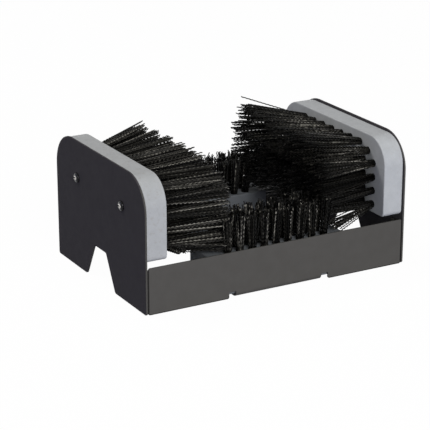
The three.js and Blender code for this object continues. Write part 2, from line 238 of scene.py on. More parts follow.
LOOSE_BUNCHES = [
    ("bristles_right_low_splay", "right_bristles", (96, -60.1, 47.6),
     [(57, -72, 37.6), (53, -72, 38.6), (50, -71, 41), (50, -71, 44.5)], 2.4 * MM, 6),
    ("bristles_left_low_splay", "left_bristles", (-96, -60.1, 47.6),
     [(-81, -66, 40.4), (-75, -66, 41.4), (-68, -67, 41.5), (-62, -68, 41.3),
      (-53, -71, 40.4), (-45, -72, 40.5), (-50, -66, 39.8), (-43, -62, 39.5)], 2.4 * MM, 14),
    ("bristles_left_low_inner", "left_bristles", (-96, -46.7, 47.6),
     [(-46, -54, 39), (-43, -50, 40), (-55, -56, 38.5)], 3.4 * MM, 16)]

# Single stray filaments, given in the same way and hardly crimped

STRAYS = [
    ("bristles_right_stray", "right_bristles", (96, 40.5, 94.5),
     [(44.5, 58.5, 114), (43, 57.5, 108)], 0.6 * MM, 1),
    ("bristles_left_stray", "left_bristles", (-96, 42.5, 95.5),
     [(-45, 63.5, 104.5), (-43, 63, 103)], 0.6 * MM, 1)]

# Each brush piece draws its chances from the next seed
seeds = itertools.count(7)

# The darker and the lighter tone of each coat and paint, what the paint's mottle and rubbed spots
# leave of it, and where the wood's grain runs

WHITE = (1.0, 1.0, 1.0)
MOTTLED = (0.9, 0.9, 0.9)
RUBBED = (0.82, 0.77, 0.72)
# The plates' coat is a darker copy of the rails': painted shade for their outward faces
PLATE_COAT_PAINTED_SHADE = [(0.053, 0.050, 0.055), (0.057, 0.054, 0.059)]
RAIL_COAT = [(0.083, 0.080, 0.0745), (0.089, 0.086, 0.0805)]
RIM_COAT = [(0.076, 0.0735, 0.068), (0.081, 0.0785, 0.073)]
RIGHT_BLOCK_PAINT = [(0.42, 0.436, 0.452), (0.472, 0.488, 0.504)]
# The left block's paint is a darker copy of the right's: painted shade
LEFT_BLOCK_PAINTED_SHADE = [(0.378, 0.39, 0.4), (0.425, 0.438, 0.447)]
# The strips' paint is a darker copy of the blocks' grey: painted shade in the hollow between the
# rails
STRIP_PAINTED_SHADE = [(0.155, 0.166, 0.178), (0.172, 0.184, 0.196)]
GRAIN_ALONG_X = (0.08, 1.0, 1.0)
GRAIN_ALONG_Y = (1.0, 0.08, 1.0)
RIM_FACING = 0.7

# Painted shade on the rails' coat, in the seams beside the plates and along the foot: an axis,
# how far along it the coat is unshaded and fully shaded, and the share of its colour that is left

SEAM = PLATE_INSIDE - 1.2 * MM
RAIL_PAINTED_SHADE = [("X", SEAM - 0.3 * MM, SEAM + 0.2 * MM, 0.3), ("Z", 1.1 * MM, 0.6 * MM, 0.4)]

# The filaments' colour by their painted light and shade: near black in shade, olive grey where lit

BRISTLE = (0.01, 0.0095, 0.008)
BRISTLE_STOPS = [
    (0.0, (0.0003, 0.0003, 0.0003)), (0.3, (0.03, 0.0285, 0.0245)), (1.0, (0.35, 0.335, 0.295))]

# Zinc plate's colour, by how far out it lies from a piece's middle line along X. On a dome screw
# that is the share of the way to its head's rim.

ZINC = (0.5, 0.49, 0.47)
ZINC_STOPS = [(0.0, ZINC), (1.0, (0.45, 0.44, 0.42))]
# On the dome heads, a painted highlight at the middle and a painted dark reflection at the rim
DOME_PAINTED_HIGHLIGHT_STOPS = [(0.32, (0.9, 0.88, 0.85)), (0.52, (0.06, 0.06, 0.065)), (0.8, (0.015, 0.015, 0.016))]


# Node helpers


def node_material(name, base, roughness, metallic=0.0, specular=0.5):
    """A material with its node tree, its shader and its object coordinates."""
    material = bpy.data.materials.new(name)
    material.use_nodes = True
    tree = material.node_tree
    shader = tree.nodes["Principled BSDF"]
    shader.inputs["Base Color"].default_value = (*base, 1)
    shader.inputs["Roughness"].default_value = roughness
    shader.inputs["Metallic"].default_value = metallic
    shader.inputs["Specular IOR Level"].default_value = specular
    where = tree.nodes.new("ShaderNodeTexCoord").outputs["Object"]
    return material, tree, shader, where


def stretched(tree, where, scale):
    """The coordinates scaled by an amount on each axis."""
    mapping = tree.nodes.new("ShaderNodeMapping")
    mapping.inputs["Scale"].default_value = scale
    tree.links.new(where, mapping.inputs["Vector"])
    return mapping.outputs["Vector"]


def noise(tree, where, scale, detail, roughness=0.55):
    """A noise texture's value, with scale in features per metre."""
    texture = tree.nodes.new("ShaderNodeTexNoise")
    texture.inputs["Scale"].default_value = scale
    texture.inputs["Detail"].default_value = detail
    texture.inputs["Roughness"].default_value = roughness
    tree.links.new(where, texture.inputs["Vector"])
    return texture.outputs["Fac"]


def ramp(tree, value, stops):
    """A colour ramp with stops of (position, colour)."""
    node = tree.nodes.new("ShaderNodeValToRGB")
    elements = node.color_ramp.elements
    while len(elements) < len(stops):
        elements.new(0.5)
    for element, (position, colour) in zip(elements, stops):
        element.position = position
        element.color = (*colour, 1)
    tree.links.new(value, node.inputs["Fac"])
    return node.outputs["Color"]


def spread_value(tree, value, low, high, from_low=0.3, from_high=0.7):
    """A value moved from one range to another."""
    node = tree.nodes.new("ShaderNodeMapRange")
    node.inputs["From Min"].default_value = from_low
    node.inputs["From Max"].default_value = from_high
    node.inputs["To Min"].default_value = low
    node.inputs["To Max"].default_value = high
    tree.links.new(value, node.inputs["Value"])
    return node.outputs["Result"]


def multiplied(tree, colour, by, factor=1.0):
    """A colour multiplied by another, in full or by a share."""
    node = tree.nodes.new("ShaderNodeMix")
    node.data_type = "RGBA"
    node.blend_type = "MULTIPLY"
    node.inputs["Factor"].default_value = factor
    tree.links.new(colour, node.inputs["A"])
    tree.links.new(by, node.inputs["B"])
    return node.outputs["Result"]


def worked_out(tree, operation, *values):
    """A number worked out from one or two others."""
    node = tree.nodes.new("ShaderNodeMath")
    node.operation = operation
    for socket, value in zip(node.inputs, values):
        tree.links.new(value, socket)
    return node.outputs["Value"]


def vector_worked_out(tree, operation, vector, by=(0, 0, 0)):
    """The node that works out a vector or a length from a vector, with a second one if needed."""
    node = tree.nodes.new("ShaderNodeVectorMath")
    node.operation = operation
    node.inputs[1].default_value = by
    tree.links.new(vector, node.inputs[0])
    return node


def bumped(tree, shader, height, distance, strength, under=None):
    """A bump from a height value, with its full height in metres, over an earlier bump."""
    node = tree.nodes.new("ShaderNodeBump")
    node.inputs["Distance"].default_value = distance
    node.inputs["Strength"].default_value = strength
    tree.links.new(height, node.inputs["Height"])
    if under is not None:
        tree.links.new(under, node.inputs["Normal"])
    tree.links.new(node.outputs["Normal"], shader.inputs["Normal"])
    return node.outputs["Normal"]


def darkened(tree, where, colour, axis, unshaded_at, fully_shaded_at, left):
    """A colour, whole at one distance from zero along an axis and a share of itself at another."""
    apart = tree.nodes.new("ShaderNodeSeparateXYZ")
    tree.links.new(where, apart.inputs["Vector"])
    distance = worked_out(tree, "ABSOLUTE", apart.outputs[axis])
    share = spread_value(tree, distance, left, 1.0, from_low=fully_shaded_at, from_high=unshaded_at)
    return multiplied(tree, colour, share)


# Materials


def powder_coat(name, tones, painted_shade=()):
    """Satin black powder coat between two tones: a fine orange peel and a slight change of gloss.

    Its last argument lists where shade is painted into it as darker colour, and by how much.
    """
    low, high = tones
    material, tree, shader, where = node_material(name, low, roughness=0.45, specular=0.01)
    colour = ramp(tree, noise(tree, where, scale=90, detail=4), [(0.35, low), (0.65, high)])
    # Painted shade: the colour darkened towards each place that is given
    for axis, unshaded_at, fully_shaded_at, left in painted_shade:
        colour = darkened(tree, where, colour, axis, unshaded_at, fully_shaded_at, left)
    tree.links.new(colour, shader.inputs["Base Color"])
    rough = spread_value(tree, noise(tree, where, scale=260, detail=3), low=0.46, high=0.58)
    tree.links.new(rough, shader.inputs["Roughness"])
    peel = noise(tree, where, scale=900, detail=2)
    fine_peel = noise(tree, where, scale=3500, detail=2)
    under = bumped(tree, shader, peel, distance=0.03 * MM, strength=0.5)
    bumped(tree, shader, fine_peel, distance=0.01 * MM, strength=0.4, under=under)
    return material


def painted_wood(name, tones, grain, scuffs):
    """Matt paint between two tones, over wood whose grain runs along an axis, given as scales.

    scuffs is how strongly its faint rubbed spots show.
    """
    low, high = tones
    material, tree, shader, where = node_material(name, high, roughness=0.6, specular=0.1)
    fibres = noise(tree, stretched(tree, where, grain), scale=900, detail=4)
    cloud = noise(tree, where, scale=120, detail=4)
    mottle = noise(tree, where, scale=1400, detail=3)
    worn = noise(tree, where, scale=420, detail=6)
    colour = ramp(tree, cloud, [(0.3, low), (0.7, high)])
    colour = multiplied(tree, colour, ramp(tree, mottle, [(0.3, MOTTLED), (0.55, WHITE)]), 0.6)
    colour = multiplied(tree, colour, ramp(tree, worn, [(0.56, WHITE), (0.66, RUBBED)]), scuffs)
    tree.links.new(colour, shader.inputs["Base Color"])
    rough = spread_value(tree, mottle, low=0.52, high=0.68)
    tree.links.new(rough, shader.inputs["Roughness"])
    under = bumped(tree, shader, fibres, distance=0.12 * MM, strength=0.45)
    bumped(tree, shader, mottle, distance=0.05 * MM, strength=0.4, under=under)
    return material


def filament():
    """Dark plastic filament: olive black, with the painted light and shade that its mesh carries.
    """
    material, tree, shader, _ = node_material("filament", BRISTLE, roughness=0.3, specular=0.08)
    shade = tree.nodes.new("ShaderNodeAttribute")
    shade.attribute_name = "shade"
    colour = ramp(tree, shade.outputs["Fac"], BRISTLE_STOPS)
    tree.links.new(colour, shader.inputs["Base Color"])
    return material


def zinc_plate(name, stops):
    """Fine-grained zinc plate, coloured by how far out it lies from a piece's line along X."""
    material, tree, shader, where = node_material(name, ZINC, roughness=0.2, metallic=1.0)
    # These coordinates run from 0 to 1 over the piece's box, and its middle line is at half
    span = tree.nodes.new("ShaderNodeTexCoord").outputs["Generated"]
    off = vector_worked_out(tree, "SUBTRACT", span, (0.5, 0.5, 0.5)).outputs["Vector"]
    aside = vector_worked_out(tree, "MULTIPLY", off, (0, 2, 2)).outputs["Vector"]
    share = vector_worked_out(tree, "LENGTH", aside).outputs["Value"]
    # On the dome heads the ramp paints a highlight at the middle and a dark reflection at the rim
    tree.links.new(ramp(tree, share, stops), shader.inputs["Base Color"])
    rough = spread_value(tree, noise(tree, where, scale=1500, detail=3), low=0.14, high=0.28)
    tree.links.new(rough, shader.inputs["Roughness"])
    marks = noise(tree, where, scale=4000, detail=2)
    bumped(tree, shader, marks, distance=0.01 * MM, strength=0.3)
    return material


# The plates' darker coat is painted shade; their rims get a coat near the rails'
plate_powder_painted_shade = powder_coat("powder_coat_plate_painted_shade", PLATE_COAT_PAINTED_SHADE)
rail_powder = powder_coat("powder_coat_rail", RAIL_COAT, RAIL_PAINTED_SHADE)
rim_powder = powder_coat("powder_coat_rim", RIM_COAT)
right_block_paint = painted_wood(
    "painted_wood_right", RIGHT_BLOCK_PAINT, GRAIN_ALONG_Y, scuffs=0.2)
# The left block's darker copy of the paint is painted shade; its rubbed spots are wear
left_block_painted_shade = painted_wood("painted_wood_left_painted_shade", LEFT_BLOCK_PAINTED_SHADE, GRAIN_ALONG_Y, scuffs=0.45)
# The strips' darker copy of the paint is painted shade
strip_painted_shade = painted_wood("painted_wood_strip_painted_shade", STRIP_PAINTED_SHADE, GRAIN_ALONG_X, scuffs=0.3)
bristle = filament()
zinc = zinc_plate("zinc_plate", ZINC_STOPS)
# The dome heads' zinc carries a painted highlight and a painted dark reflection
dome_zinc_painted_highlight = zinc_plate("zinc_dome_painted_highlight", DOME_PAINTED_HIGHLIGHT_STOPS)


# Mesh helpers


def rounded(corners):
    """Points of a closed outline whose corners are (u, v, radius), with each corner rounded."""
    points = []
    for i, (u, v, radius) in enumerate(corners):
        corner = Vector((u, v))
        back = (Vector(corners[i - 1][:2]) - corner).normalized()
        ahead = (Vector(corners[(i + 1) % len(corners)][:2]) - corner).normalized()
        if radius == 0:
            points.append(corner)
            continue
        half = math.acos(max(-1.0, min(1.0, back.dot(ahead)))) / 2
        centre = corner + (back + ahead).normalized() * (radius / math.sin(half))
        start = corner + back * (radius / math.tan(half)) - centre
        turn = math.pi - 2 * half
        way = 1 if ahead.x * back.y - ahead.y * back.x > 0 else -1
        steps = max(LEAST_CORNER_STEPS, round(QUARTER_STEPS * turn / (math.pi / 2)))
        for step in range(steps + 1):
            angle = way * turn * step / steps
            points.append(centre + Matrix.Rotation(angle, 2) @ start)
    return points


def flat_mesh(name, faces):
    """A mesh from faces given as lists of points, with shared points merged."""
    mesh = bpy.data.meshes.new(name)
    made = bmesh.new()
    for face in faces:
        made.faces.new([made.verts.new(p) for p in face])
    bmesh.ops.remove_doubles(made, verts=made.verts, dist=MERGE_DISTANCE)
    bmesh.ops.recalc_face_normals(made, faces=made.faces)
    made.to_mesh(mesh)
    made.free()
    return mesh


def turned_to_face(mesh, polygon, way):
    """Turns a mesh inside out if one of its polygons looks away from a direction."""
    if polygon.normal.dot(Vector(way)) < 0:
        mesh.flip_normals()


def new_object(name, mesh, material=None):
    piece = bpy.data.objects.new(name, mesh)
    bpy.context.scene.collection.objects.link(piece)
    if material is not None:
        piece.data.materials.clear()
        piece.data.materials.append(material)
    return piece


def settled(piece):
    """Turns a piece's modifiers into its mesh."""
    depsgraph = bpy.context.evaluated_depsgraph_get()
    mesh = bpy.data.meshes.new_from_object(piece.evaluated_get(depsgraph))
    piece.modifiers.clear()
    old = piece.data
    piece.data = mesh
    bpy.data.meshes.remove(old)
    return piece


def eased(piece, ease, steps):
    """Rounds a piece's sharp rims."""
    bevel = piece.modifiers.new("ease", "BEVEL")
    bevel.width = ease
    bevel.segments = steps
    bevel.limit_method = "ANGLE"
    bevel.angle_limit = SHARP_ANGLE
    bevel.use_clamp_overlap = False
    return settled(piece)


def shaded(piece):
    """Shades a piece smooth, with its sharp edges sharp and its flats flat."""
    piece.data.polygons.foreach_set("use_smooth", [True] * len(piece.data.polygons))
    piece.data.set_sharp_from_angle(angle=SHARP_ANGLE)
    weighted = piece.modifiers.new("shading", "WEIGHTED_NORMAL")
    weighted.keep_sharp = True
    return piece


def thickened(piece, thickness):
    """Gives a sheet its thickness, on the far side of its faces."""
    solidify = piece.modifiers.new("thickness", "SOLIDIFY")
    solidify.thickness = thickness
    solidify.offset = -1
    solidify.use_even_offset = True
    return settled(piece)


def turned_about_z(mesh):
    """A copy of a mesh, turned half round the Z axis."""
    copy = mesh.copy()
    copy.transform(Matrix.Rotation(math.pi, 4, "Z"))
    return copy


def finished(piece, nodes):
    """Lets a piece stand for its nodes."""
    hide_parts(*nodes)
    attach(piece, BODY)


# End plates


def left_plate():
    half = HALF_DEPTH
    outline = rounded([
        (-half, 0, FOOT_CORNER), (-ARCH_FLOOR, 0, ARCH_FOOT_RADIUS),
        (-ARCH_TOP, ARCH_HEIGHT, ARCH_TOP_RADIUS), (ARCH_TOP, ARCH_HEIGHT, ARCH_TOP_RADIUS),
        (ARCH_FLOOR, 0, ARCH_FOOT_RADIUS), (half, 0, FOOT_CORNER),
        (half, HEIGHT, PLATE_CORNER), (-half, HEIGHT, PLATE_CORNER)])
    mesh = flat_mesh("left_plate", [[(-HALF_WIDTH, p.x, p.y) for p in reversed(outline)]])
    turned_to_face(mesh, mesh.polygons[0], (-1, 0, 0))
    piece = thickened(new_object("end_plate_left", mesh, plate_powder_painted_shade), SHEET)
    shaded(eased(piece, SHEET_EASE, EASE_STEPS))

    # The front and rear rims have a coat of their own, near the rails'; the faces' darker one is
    # painted shade
    piece.data.materials.append(rim_powder)
    for polygon in piece.data.polygons:
        polygon.material_index = int(abs(polygon.normal.y) > RIM_FACING)
    return piece


plate = left_plate()
finished(plate, ["left_end_plate"])
opposite = shaded(new_object("end_plate_right", turned_about_z(plate.data)))
finished(opposite, ["right_end_plate"])


# Rails


def rail_flat_outline(end, bend):
    """The front rail's flat, up to its end tabs and its flange, with the flange's two notches."""
    relief = FLANGE_HALF + RELIEF_WIDTH
    # A point short of each end keeps the bevel of the foot's edge level as far as the notches
    steady = end - STEADY_LENGTH
    return rounded([
        (-end, 0, 0), (-steady, 0, 0),
        (-relief, 0, RELIEF_FOOT_RADIUS), (-relief, RELIEF_HEIGHT, RELIEF_RADIUS),
        (-FLANGE_HALF, RELIEF_HEIGHT, RELIEF_RADIUS), (-FLANGE_HALF, bend, 0),
        (FLANGE_HALF, bend, 0), (FLANGE_HALF, RELIEF_HEIGHT, RELIEF_RADIUS),
        (relief, RELIEF_HEIGHT, RELIEF_RADIUS), (relief, 0, RELIEF_FOOT_RADIUS),
        (steady, 0, 0), (end, 0, 0),
        (end, RAIL_HEIGHT, 0), (-end, RAIL_HEIGHT, 0)])


def front_rail_faces():
    """The outer skin of the front rail: its flat, its bend and flange, and its end tabs."""
    front = -HALF_DEPTH
    bend = BEND_RADIUS + SHEET
    tab_bend = TAB_BEND_RADIUS + SHEET
    end = PLATE_INSIDE - tab_bend
    faces = [[(p.x, front, p.y) for p in rail_flat_outline(end, bend)]]

    turns = [math.pi / 2 * i / BEND_STEPS for i in range(BEND_STEPS + 1)]
    under = [(front + bend * (1 - math.cos(t)), bend * (1 - math.sin(t))) for t in turns]
    for (y0, z0), (y1, z1) in zip(under, under[1:] + [(FLANGE_EDGE, 0)]):
        faces.append([(-FLANGE_HALF, y0, z0), (FLANGE_HALF, y0, z0),
                      (FLANGE_HALF, y1, z1), (-FLANGE_HALF, y1, z1)])

    # The flat's corners are rounded, so that each tab's bend grows shorter as it turns in
    for side in (-1, 1):
        strips = []
        for t in turns:
            inward = 1 - math.cos(t)
            strips.append((side * (end + tab_bend * math.sin(t)), front + tab_bend * inward,
                           TAB_FOOT_RISE * inward, RAIL_HEIGHT - TAB_TOP_DROP * inward))
        for (x0, y0, low0, high0), (x1, y1, low1, high1) in zip(strips, strips[1:]):
            faces.append([(x0, y0, low0), (x1, y1, low1), (x1, y1, high1), (x0, y0, high0)])
        x, y, low, high = strips[-1]
        tab = rounded([(0, low, 0), (TAB_LENGTH, low, TAB_CORNER),
                       (TAB_LENGTH, high, TAB_CORNER), (0, high, 0)])
        faces.append([(x, y + p.x, p.y) for p in tab])
    return faces


def front_rail():
    mesh = flat_mesh("rail", front_rail_faces())
    lowest = min(mesh.polygons, key=lambda p: p.center.z)
    turned_to_face(mesh, lowest, (0, 0, -1))
    piece = thickened(new_object("rail_front", mesh, rail_powder), SHEET)
    return shaded(eased(piece, SHEET_EASE, EASE_STEPS))


rail = front_rail()
finished(rail, ["front_rail"])
opposite = shaded(new_object("rail_rear", turned_about_z(rail.data)))
finished(opposite, ["rear_rail"])


# Tufts: where each one is rooted and where it ends


def side_tufts():
    """Roots and tips of the right brush's tufts, as arrays of points."""
    columns = np.linspace(-COLUMN_REACH, COLUMN_REACH, COLUMNS)
    places = [(y, z) for z in ROW_HEIGHTS for y in columns]
    places += [(y, TOP_ROW_HEIGHT) for y in np.linspace(-TOP_REACH, TOP_REACH, TOP_COLUMNS)]
    places += [(side * CORNER_TUFT[0], CORNER_TUFT[1]) for side in (-1, 1)]
    places = np.array(places)
    roots = np.column_stack([np.full(len(places), BLOCK_FACE), places])
    rise = np.interp(places[:, 1], (ROW_HEIGHTS[0], SIDE_MIDDLE, TOP_ROW_HEIGHT), SIDE_RISE)
    lean = np.column_stack([np.full(len(places), -SIDE_LENGTH), places[:, 0] * SIDE_FAN_Y, rise])
    lean *= (SIDE_LENGTH / np.linalg.norm(lean, axis=1))[:, None]
    return roots, roots + lean


def strip_tufts():
    """Roots and tips of the front strip's tufts, as arrays of points."""
    middle = (strip_low.y + strip_high.y) / 2 - STRIP_ROW_SHIFT
    xs = np.linspace(-STRIP_COLUMN_REACH, STRIP_COLUMN_REACH, STRIP_COLUMNS)
    ys = np.linspace(-STRIP_ROW_REACH, STRIP_ROW_REACH, STRIP_ROWS)
    places = np.array([(x, y) for x in xs for y in ys])
    roots = np.column_stack([places[:, 0], places[:, 1] + middle, np.full(len(places), STRIP_TOP)])
    tips = roots + np.column_stack([
        places[:, 0] * STRIP_FAN, places[:, 1] * STRIP_ROW_FAN, np.full(len(places), STRIP_LENGTH)])
    return roots, tips


# Wooden blocks, drilled for the tufts


def drilled(piece, roots, inward):
    """Drills a blind hole for each tuft, inward from its root."""
    inward = Vector(inward)
    cutter = bmesh.new()
    spin = Vector((0, 0, 1)).rotation_difference(inward).to_matrix().to_4x4()
    for root in roots:
        # Each hole starts a little above the face, so that it cuts clean through it
        centre = Vector(root) + inward * (HOLE_DEPTH / 2 - HOLE_START / 2)
        bmesh.ops.create_cone(
            cutter, cap_ends=True, segments=HOLE_SIDES, radius1=HOLE_RADIUS, radius2=HOLE_RADIUS,
            depth=HOLE_DEPTH + HOLE_START, matrix=Matrix.Translation(centre) @ spin)
    mesh = bpy.data.meshes.new("drill")
    cutter.to_mesh(mesh)
    cutter.free()
    drill = new_object("drill", mesh)
    boolean = piece.modifiers.new("holes", "BOOLEAN")
    boolean.operation = "DIFFERENCE"
    boolean.solver = "EXACT"
    boolean.object = drill
    settled(piece)
    bpy.data.objects.remove(drill)
    return piece


def drilled_wood(name, outline, far, near, paint, ease, ease_steps, roots, inward):
    """A wooden piece with one outline all along X, eased, and drilled for its tufts."""
    mesh = flat_mesh(name, [[(far, p.x, p.y) for p in outline]])
    turned_to_face(mesh, mesh.polygons[0], (1, 0, 0))
    piece = thickened(new_object(name, mesh, paint), far - near)
    eased(piece, ease, ease_steps)
    return shaded(drilled(piece, roots, inward))


def right_block(roots):
    half = block_high.y
    outline = rounded([
        (-half, block_low.z, BLOCK_FOOT_RADIUS), (half, block_low.z, BLOCK_FOOT_RADIUS),
        (half, block_high.z, BLOCK_CORNER), (-half, block_high.z, BLOCK_CORNER)])
    return drilled_wood("brush_block_right", outline, block_high.x, block_low.x, right_block_paint,
                        WOOD_EASE, BLOCK_EASE_STEPS, roots, inward=(1, 0, 0))


def front_strip(roots):
    outline = rounded([
        (strip_low.y, strip_low.z, STRIP_FOOT_RADIUS),
        (strip_high.y, strip_low.z, STRIP_FOOT_RADIUS),
        (strip_high.y, strip_high.z, STRIP_TOP_RADIUS),
        (strip_low.y, strip_high.z, STRIP_TOP_RADIUS)])
    return drilled_wood("base_block_front", outline, strip_high.x, strip_low.x, strip_painted_shade,
                        STRIP_EASE, EASE_STEPS, roots, inward=(0, 0, -1))


side_roots, side_tips = side_tufts()
strip_roots, strip_tips = strip_tufts()
block = right_block(side_roots)
finished(block, ["right_brush_block"])
opposite = shaded(new_object("brush_block_left", turned_about_z(block.data), left_block_painted_shade))
finished(opposite, ["left_brush_block"])
strip = front_strip(strip_roots)
finished(strip, ["front_base_block"])
opposite = shaded(new_object("base_block_rear", turned_about_z(strip.data)))
finished(opposite, ["rear_base_block"])


# Filaments, as thin crimped tubes


def across(axis):
    """Two directions square to each of a list of directions and to each other."""
    up = np.where(np.abs(axis[:, 2:]) < NEARLY_UPRIGHT, [[0.0, 0.0, 1.0]], [[0.0, 1.0, 0.0]])
    first = np.cross(axis, up)
    first /= np.linalg.norm(first, axis=1)[:, None]
    return first, np.cross(axis, first)


def filament_ends(roots, tips, tip_radii, random, ragged, filaments):
    """Where the filaments of some tufts start and end, as arrays by tuft and filament.

    A tuft's filaments stand side by side at its root, placed as in a sunflower's head, and spread
    out evenly towards its tip. ragged is how much their lengths differ.
    """
    tufts = len(roots)
    axis = tips - roots
    length = np.linalg.norm(axis, axis=1)
    axis = axis / length[:, None]
    first, second = across(axis)
    order = np.arange(filaments) + 0.5
    radius = np.sqrt(order / filaments)
    angle = order * math.pi * (3 - math.sqrt(5)) + random.uniform(0, 2 * math.pi, (tufts, 1))
    wander = random.normal(0, WANDER, (2, tufts, filaments))
    u = radius * np.cos(angle)
    v = radius * np.sin(angle)

    def placed(scale_u, scale_v):
        return scale_u[..., None] * first[:, None] + scale_v[..., None] * second[:, None]

    start = roots[:, None] + placed(u, v) * TUFT_RADIUS - axis[:, None] * ROOT_DEPTH
    splay = 1 + SPLAY * (random.uniform(0, 1, (tufts, filaments)) > SPLAY_FROM)
    lean = random.normal(0, TUFT_LEAN, (2, tufts, 1))
    reach = placed((u + wander[0]) * splay + lean[0], (v + wander[1]) * splay + lean[1])
    cut = 1 + ragged * random.normal(0, 1, (tufts, filaments))
    cut = cut + TUFT_RAGGED * ragged * random.normal(0, 1, (tufts, 1))
    cut = np.minimum(cut, 1 + RAGGED_LIMIT * ragged)
    end = roots[:, None] + axis[:, None] * (length[:, None] * cut)[..., None]
    return start, end + reach * tip_radii[:, None, None]


def crimped_lines(start, end, random, crimp):
    """Points along each filament, and two directions square to it.

    Each one has a crimp and a bow, in planes of its own that are square to each other.
    """
    tufts, filaments = start.shape[:2]
    count = tufts * filaments
    start, end = start.reshape(count, 3), end.reshape(count, 3)
    way = end - start
    long = np.linalg.norm(way, axis=1)
    way /= long[:, None]
    side, other = across(way)

    steps = int(round(long.mean() / (CRIMP_LENGTH / 2)))
    along = np.linspace(0, 1, steps + 1)
    tuft_plane = random.uniform(0, 2 * math.pi, (tufts, 1))
    plane = tuft_plane + random.normal(0, CRIMP_TURN, (tufts, filaments))
    plane = plane.reshape(count, 1, 1)
    shift = random.uniform(-CRIMP_SHIFT, CRIMP_SHIFT, (count, 1)) * CRIMP_LENGTH
    bow = random.normal(0, BOW, (count, 1, 1)) * long[:, None, None]
    crimp_way = np.cos(plane) * side[:, None] + np.sin(plane) * other[:, None]
    bow_way = -np.sin(plane) * side[:, None] + np.cos(plane) * other[:, None]
    zigzag = np.where(np.arange(steps + 1) % 2 == 0, 1.0, -1.0)[None, :, None]
    swell = np.clip(along * CRIMP_GROWTH, 0, 1)[None, :, None]
    size = random.uniform(*CRIMP_SPREAD, (count, 1, 1))
    lines = start[:, None] + way[:, None] * (long[:, None] * along + shift)[..., None]
    lines = lines + crimp_way * zigzag * swell * crimp * size
    lines = lines + bow_way * bow * (np.sin(math.pi * along) ** 2)[None, :, None]
    return lines, side, other


def tube_points(lines, side, other, random):
    """A ring of points round each point of each line."""
    turn = 2 * math.pi * np.arange(FILAMENT_SIDES) / FILAMENT_SIDES
    spin = turn[None, :] + random.uniform(0, 2 * math.pi, (len(lines), 1))
    ring = np.cos(spin)[..., None] * side[:, None] + np.sin(spin)[..., None] * other[:, None]
    return lines[:, :, None] + ring[:, None] * FILAMENT_RADIUS


def tube_faces(count, rings):
    """The sides and the caps of some tubes, as the numbers of their points."""
    per = rings * FILAMENT_SIDES
    base = (np.arange(count) * per)[:, None, None]
    ring = (np.arange(rings - 1) * FILAMENT_SIDES)[:, None]
    corner = np.arange(FILAMENT_SIDES)
    low = ring + corner
    beside = ring + (corner + 1) % FILAMENT_SIDES
    quads = np.stack([low, beside, beside + FILAMENT_SIDES, low + FILAMENT_SIDES], axis=-1)
    quads = (quads.reshape(1, -1, 4) + base).reshape(-1, 4)
    caps = np.stack([corner[::-1], corner + per - FILAMENT_SIDES])
    return quads, (caps[None] + base).reshape(-1, FILAMENT_SIDES)


def tube_mesh(name, points):
    """A mesh of tubes, from their points by tube and ring."""
    quads, caps = tube_faces(*points.shape[:2])
    mesh = bpy.data.meshes.new(name)
    mesh.vertices.add(points.size // 3)
    mesh.vertices.foreach_set("co", points.reshape(-1).astype(np.float32))
    loops = np.concatenate([quads.reshape(-1), caps.reshape(-1)])
    mesh.loops.add(len(loops))
    mesh.loops.foreach_set("vertex_index", loops.astype(np.int32))
    sizes = np.concatenate([np.full(len(quads), 4), np.full(len(caps), FILAMENT_SIDES)])
    starts = np.concatenate([[0], np.cumsum(sizes)[:-1]])
    mesh.polygons.add(len(sizes))
    mesh.polygons.foreach_set("loop_start", starts.astype(np.int32))
    smooth = np.concatenate([np.ones(len(quads), bool), np.zeros(len(caps), bool)])
    mesh.polygons.foreach_set("use_smooth", smooth)
    mesh.update(calc_edges=True)

    # A ring's own edges stay sharp, so that each straight between two bends catches the light alone
    ends = np.empty(len(mesh.edges) * 2, np.int32)
    mesh.edges.foreach_get("vertices", ends)
    ends = ends.reshape(-1, 2) // FILAMENT_SIDES
    sharp = mesh.attributes.new("sharp_edge", "BOOLEAN", "EDGE")
    sharp.data.foreach_set("value", ends[:, 0] == ends[:, 1])
    return mesh


def filament_shades(count, rings, random, painted_light, contrast, crest_highlight):
    """How much light each ring of each filament is painted with."""
    # Painted light per filament, which few of them get
    own = random.uniform(0, 1, (count, 1)) ** contrast
    # Painted highlight on every second bend of the crimp, and painted shade on the others
    crest_light = np.where(np.arange(rings) % 2 == 0, 1.0, crest_highlight[0])
    crest_light = crest_light * random.uniform(LEAST_CREST_LIGHT, 1, (count, 1))
    crest_light = crest_light + crest_highlight[1] * random.uniform(0, 1, (count, rings)) ** 2
    # Painted shade towards the root, and painted light along the middle and at the tip
    stops = [ROOT_PAINTED_SHADE * painted_light[0], painted_light[0], painted_light[0], painted_light[1]]
    shades = own * crest_light * np.interp(np.linspace(0, 1, rings), PAINTED_LIGHT_PLACES, stops) / 2
    # A painted glint on a few tips
    shades[:, -1] *= TIP_GLINT * random.uniform(0, 1, count) ** 3
    return shades


def brush(name, node, roots, tips, tip_radii, ragged, painted_light,
          filaments=FILAMENTS, contrast=CONTRAST, crimp=CRIMP, crest_highlight=CREST_PAINTED_HIGHLIGHT):
    """A piece with every filament of a list of tufts."""
    random = np.random.default_rng(next(seeds))
    start, end = filament_ends(roots, tips, tip_radii, random, ragged, filaments)
    points = tube_points(*crimped_lines(start, end, random, crimp), random)
    mesh = tube_mesh(name, points)
    shades = filament_shades(*points.shape[:2], random, painted_light, contrast, crest_highlight)
    shade = mesh.attributes.new("shade", "FLOAT", "POINT")
    shade.data.foreach_set("value", np.repeat(shades, FILAMENT_SIDES).astype(np.float32))
    finished(new_object(name, mesh, bristle), [node])


# Brushes


def half_turned(points):
    """Points turned half round the Z axis."""
    return points * np.array([-1.0, -1.0, 1.0])


